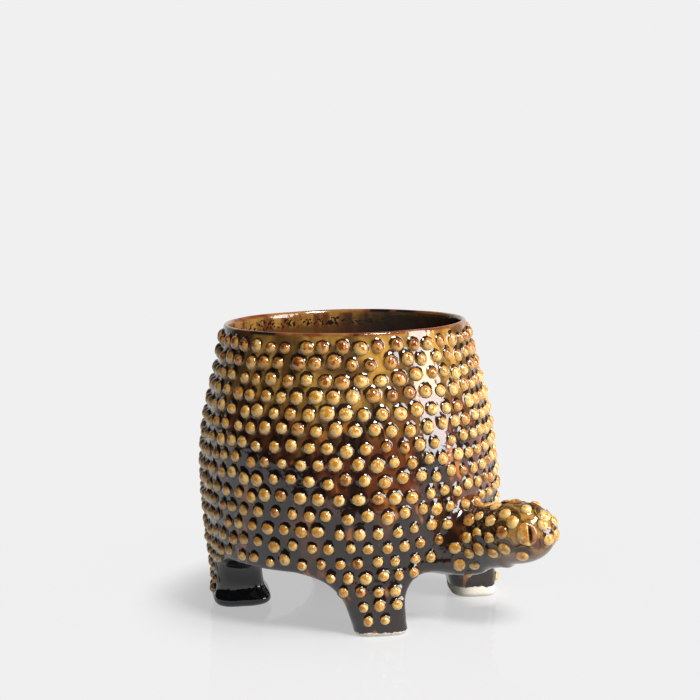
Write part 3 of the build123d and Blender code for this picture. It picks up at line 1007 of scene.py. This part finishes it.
def head_colour(tree, place, x, height):
    """Olive amber over the face with chestnut streaks and a plain brown chin, on a neck like the wall."""
    streaks = noise(tree, stretched(tree, place, (0.4, 1, 1)), 190.0, 3.0)
    face = mixed(tree, ranged(tree, streaks, 0.44, 0.6), OLIVE_AMBER, CHESTNUT)
    throat = calc(tree, "SUBTRACT", height, calc(tree, "MULTIPLY", calc(tree, "SUBTRACT", x, 0.062), 0.176))
    face = mixed(tree, ranged(tree, throat, 0.034, 0.027), face, CHIN_BROWN)
    neck = ground_colour(tree, place, height)
    return mixed(tree, ranged(tree, x, 0.088, 0.104), neck, face)


def head_glaze():
    """Glaze of the neck and head."""
    material, tree, shader = new_glaze("head_glaze")
    place, x, _, height = from_pot_middle(tree)
    tree.links.new(head_colour(tree, place, x, height), shader.inputs["Base Color"])
    glaze_waves(tree, shader, place)
    return material


def stud_glaze(name, on_head=False):
    """Pale where the glaze thins on a stud's shoulder, amber on its crown, darkened in the crease above it
    and round its foot by pooling glaze and painted shade.
    """
    material, tree, shader = new_glaze(name)
    place, x, _, height = from_pot_middle(tree)
    climb = attribute(tree, "climb")
    tone = attribute(tree, "tone")
    mottle = calc(tree, "SUBTRACT", noise(tree, place, 480.0, 3.0), 0.5)
    ground = head_colour(tree, place, x, height) if on_head else ground_colour(tree, place, height)
    over = attribute(tree, "over")
    scorch = calc(tree, "ADD", height, calc(tree, "MULTIPLY", tone, 0.03))
    rusty = calc(tree, "MULTIPLY", ranged(tree, tone, 0.82, 0.92), 0.8)
    rusty = calc(tree, "MAXIMUM", ranged(tree, scorch, 0.118, 0.152), rusty)
    crown = mixed(tree, rusty, AMBER, RUST)
    pale = mixed(tree, calc(tree, "MULTIPLY", tone, 0.5), CREAM, AMBER)
    pale = mixed(tree, calc(tree, "MULTIPLY", rusty, 0.75), pale, AMBER)
    top = calc(tree, "ADD", calc(tree, "MULTIPLY", climb, 0.7), calc(tree, "MULTIPLY", over, 0.5))
    top = calc(tree, "ADD", top, calc(tree, "MULTIPLY", mottle, 1.7))
    colour = mixed(tree, ranged(tree, top, 0.38, 0.78), pale, crown)
    # Painted shade and painted dark reflection in the crease above each stud and round its foot, over glaze
    # that pools there; weaker on the stud's lower side.
    above = calc(tree, "MULTIPLY", ranged(tree, over, 0.05, 0.35), ranged(tree, climb, 0.03, 0.15))
    below = calc(tree, "ADD", 0.3, calc(tree, "MULTIPLY", ranged(tree, over, -0.4, 0.1), 0.7))
    pool_and_shade = calc(tree, "MAXIMUM", calc(tree, "MULTIPLY", ranged(tree, climb, 0.2, 0.32), below), above)
    foot = mixed(tree, calc(tree, "MULTIPLY", pool_and_shade, 0.82 if on_head else 0.95), ground, PITCH_BROWN)
    edge = calc(tree, "ADD", climb, calc(tree, "MULTIPLY", mottle, 0.12))
    edge = calc(tree, "SUBTRACT", edge, calc(tree, "MULTIPLY", calc(tree, "MAXIMUM", over, 0.0), 0.15))
    colour = mixed(tree, ranged(tree, edge, 0.32, 0.46), foot, colour)
    tree.links.new(colour, shader.inputs["Base Color"])
    glaze_waves(tree, shader, place, 0.0001, 380.0)
    return material


def eye_glaze():
    """Mottled lids, the front one rusty, with a dark slit."""
    material, tree, shader = new_glaze("eye_glaze")
    place = from_pot_middle(tree)[0]
    mottle = noise(tree, place, 300.0, 2.0)
    lid = mixed(tree, ranged(tree, mottle, 0.4, 0.62), AMBER, CREAM)
    lid = mixed(tree, calc(tree, "MULTIPLY", attribute(tree, "front_lid"), 0.75), lid, RUST)
    colour = mixed(tree, attribute(tree, "slit"), lid, PITCH_BROWN)
    tree.links.new(colour, shader.inputs["Base Color"])
    glaze_waves(tree, shader, place, 0.00006, 380.0)
    return material


# Marks that the glazes read


def mark_inside(pot):
    """Store how far each point lies towards the inside of the wall."""
    marks = []
    for vertex in pot.data.vertices:
        point = (vertex.co - pot_middle) / MM
        depth = float(wall_radius(point.z)) - hypot(point.x, point.y)
        inside = (depth - 1.2) / 2.0 if point.z > FLOOR_LEVEL - 1 else 0.0
        marks.append(min(max(inside, 0.0), 1.0))
    pot.data.attributes.new("inside", "FLOAT", "POINT").data.foreach_set("value", marks)


def glaze_edge(point):
    """Height at which the glaze ends on the leg at a point."""
    if point.x <= 0:
        return BARE_REAR
    return BARE_FRONT_LEFT if point.y > 0 else BARE_FRONT_RIGHT


def mark_bare(legs):
    """Store how far below the edge of its glaze each point of a leg lies, in millimetres."""
    marks = []
    for vertex in legs.data.vertices:
        point = (vertex.co - pot_middle) / MM
        marks.append(glaze_edge(point) - point.z)
    legs.data.attributes.new("bare", "FLOAT", "POINT").data.foreach_set("value", marks)


# The planter

pot = turned_pot(pot_glaze())
legs = clay_legs()
legs.data.materials.append(leg_glaze())
head = clay_head()
head.data.materials.append(head_glaze())
mark_inside(pot)
mark_bare(legs)

dice = random.Random(STUD_SEED)
surface = clay_surface(pot, legs, head)

pellet_rows = sorted(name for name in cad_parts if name.startswith("pellet_row"))
leg_names = ["leg_front_left", "leg_front_right", "leg_rear_left", "leg_rear_right"]
leg_pellets = [f"{name}_pellets" for name in leg_names]
wall_crust = stud_glaze("wall_stud_glaze")
head_crust = stud_glaze("head_stud_glaze", True)
wall_places = pellet_places(*pellet_rows[1:])
lip_places = pellet_places(pellet_rows[0])
leg_places = stepped_forward(pellet_places(*leg_pellets))
head_places = off_the_eyes(pellet_places("neck_pellets", "head_pellets"))
head_places += neck_root_spots(wall_places + head_places)
wall_studs = set_studs("wall_studs", wall_places, surface, dice, wall_crust, wall_stud_width, STUD_HEIGHT)
lip_studs = set_studs("lip_studs", lip_places, surface, dice, wall_crust, wall_stud_width, STUD_HEIGHT, 0.0)
leg_studs = set_studs("leg_studs", leg_places, surface, dice, wall_crust, wall_stud_width, LEG_STUD_HEIGHT)
head_studs = set_studs(
    "head_studs", head_places, surface, dice, head_crust, head_stud_width, HEAD_STUD_HEIGHT
)
eye_finish = eye_glaze()
eye_sides = {"eye_right": -1, "eye_left": 1}
eyes = {name: eye_piece(name, side, surface, eye_finish) for name, side in eye_sides.items()}

for piece in (pot, legs, head, wall_studs, lip_studs, leg_studs, head_studs, *eyes.values()):
    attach(piece, "root")

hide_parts("base_slab", "pot_wall")
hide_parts(*leg_names)
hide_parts("neck", "head")
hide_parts(*pellet_rows[1:])
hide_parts(pellet_rows[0])
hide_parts(*leg_pellets)
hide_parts("neck_pellets", "head_pellets")
for name, eye in eyes.items():
    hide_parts(name)

# Studio

BACKGROUND = (0.871, 0.871, 0.871, 1)
FLOOR_WHITE = (0.6, 0.6, 0.6, 1)
FLOOR_GLOW = 0.56
FLOOR_POLISH = 0.4
TABLE_END = 0.52
TABLE_END_BLUR = 0.12
TABLE_DARK = (0.03, 0.03, 0.032, 1)
GLOW_REACH = (0.072, 0.115)
MIRROR_REACH = (0.26, 0.08)
MIRROR_IOR = 1.12
MIRROR_SHARES = (0.03, 0.22)
ROOM_FRONT = Vector((0.62, -0.785, 0.0))
ROOM_DARK = (0.03, 0.031, 0.035, 1)
ROOM_PALE = (0.78, 0.8, 0.83, 1)
ROOM_FILL = (0.06, 0.06, 0.063, 1)
LAMP_TARGET = 80.0


def studio_world():
    """Even fill, with a pale backdrop and a dark room in front of it in the glaze's reflections."""
    world = bpy.data.worlds.new("studio")
    bpy.context.scene.world = world
    world.use_nodes = True
    tree = world.node_tree
    sky = tree.nodes["Background"]
    way = add_node(tree, "ShaderNodeTexCoord").outputs["Generated"]
    behind = add_node(tree, "ShaderNodeVectorMath", operation="DOT_PRODUCT")
    feed(tree, behind.inputs[0], way)
    behind.inputs[1].default_value = -ROOM_FRONT
    backdrop = ranged(tree, behind.outputs["Value"], 0.55, 0.95)
    mirrored = mixed(tree, backdrop, ROOM_DARK, ROOM_PALE)
    path = add_node(tree, "ShaderNodeLightPath")
    light = mixed(tree, path.outputs["Is Glossy Ray"], ROOM_FILL, mirrored)
    tree.links.new(mixed(tree, path.outputs["Is Camera Ray"], light, BACKGROUND), sky.inputs["Color"])


def studio_floor():
    """Pale table with the object's shadow and a faint mirror image, which runs into the background."""
    mesh = bpy.data.meshes.new("floor")
    mesh.from_pydata([(-6, -6, 0), (6, -6, 0), (6, 6, 0), (-6, 6, 0)], [], [(0, 1, 2, 3)])
    ground = linked("floor", mesh)
    material, tree, shader = new_glaze("floor_white", 0.5)
    shader.inputs["Base Color"].default_value = FLOOR_WHITE
    shader.inputs["Specular IOR Level"].default_value = 0.0
    place = from_pot_middle(tree)[0]
    far = add_node(tree, "ShaderNodeVectorMath", {0: place}, operation="LENGTH").outputs["Value"]
    ahead = add_node(tree, "ShaderNodeVectorMath", {0: place, 1: ROOM_FRONT}, operation="DOT_PRODUCT")
    path = add_node(tree, "ShaderNodeLightPath")
    seen = path.outputs["Is Camera Ray"]
    mirrored = path.outputs["Is Glossy Ray"]
    past_end = ranged(tree, ahead.outputs["Value"], TABLE_END - TABLE_END_BLUR, TABLE_END + TABLE_END_BLUR)
    paper = mixed(tree, calc(tree, "MULTIPLY", mirrored, past_end), BACKGROUND, TABLE_DARK)
    glow = add_node(tree, "ShaderNodeEmission", {"Color": paper, "Strength": 1.0})
    outer = calc(tree, "MULTIPLY", ranged(tree, far, *GLOW_REACH), 1 - FLOOR_GLOW)
    share = calc(tree, "ADD", FLOOR_GLOW, outer)
    share = calc(tree, "MULTIPLY", share, calc(tree, "MAXIMUM", seen, mirrored))
    lit = add_node(tree, "ShaderNodeMixShader", {0: share, 1: shader.outputs[0], 2: glow.outputs[0]})
    polish = add_node(tree, "ShaderNodeBsdfGlossy", {"Color": (1, 1, 1, 1), "Roughness": 0.03})
    fresnel = add_node(tree, "ShaderNodeFresnel", {"IOR": MIRROR_IOR}).outputs[0]
    grazing = ranged(tree, fresnel, *MIRROR_SHARES)
    image = calc(tree, "MULTIPLY", ranged(tree, far, *MIRROR_REACH), grazing)
    image = calc(tree, "MULTIPLY", image, FLOOR_POLISH)
    image = calc(tree, "MULTIPLY", image, seen)
    whole = add_node(tree, "ShaderNodeMixShader", {0: image, 1: lit.outputs[0], 2: polish.outputs[0]})
    tree.links.new(whole.outputs[0], tree.nodes["Material Output"].inputs["Surface"])
    mesh.materials.append(material)


def softbox(name, bearing, rise, distance, size, power):
    """Flat lamp that looks at the pot."""
    data = bpy.data.lights.new(name, "AREA")
    data.shape = "RECTANGLE"
    data.size = size[0]
    data.size_y = size[1]
    data.energy = power
    lamp = linked(name, data)
    turn = radians(bearing)
    level = cos(radians(rise))
    way = Vector((level * cos(turn), level * sin(turn), sin(radians(rise))))
    target = pot_middle + Vector((0, 0, LAMP_TARGET * MM))
    lamp.location = target + way * distance
    lamp.rotation_euler = (-way).to_track_quat("-Z", "Y").to_euler()


studio_world()
studio_floor()
softbox("key_box", -14, 50, 0.95, (0.26, 0.26), 11.0)
softbox("side_panel", 20, 18, 0.8, (0.34, 0.6), 6.5)

CAMERA_PLACE = Vector((450.306, -569.615, 212.638))
CAMERA_AIM = Vector((1.758, 1.486, 124.648))
CAMERA_ROLL = -0.021

camera_data = bpy.data.cameras.new("camera")
camera = linked("camera", camera_data)
bpy.context.scene.camera = camera
camera_data.sensor_width = 36
camera_data.lens = 75.52
camera.location = CAMERA_PLACE * MM + pot_middle
aim = CAMERA_AIM * MM + pot_middle
camera.rotation_mode = "QUATERNION"
facing_pot = (aim - camera.location).to_track_quat("-Z", "Y")
camera.rotation_quaternion = facing_pot @ Quaternion((0, 0, 1), CAMERA_ROLL)

bpy.context.scene.view_settings.view_transform = "Standard"
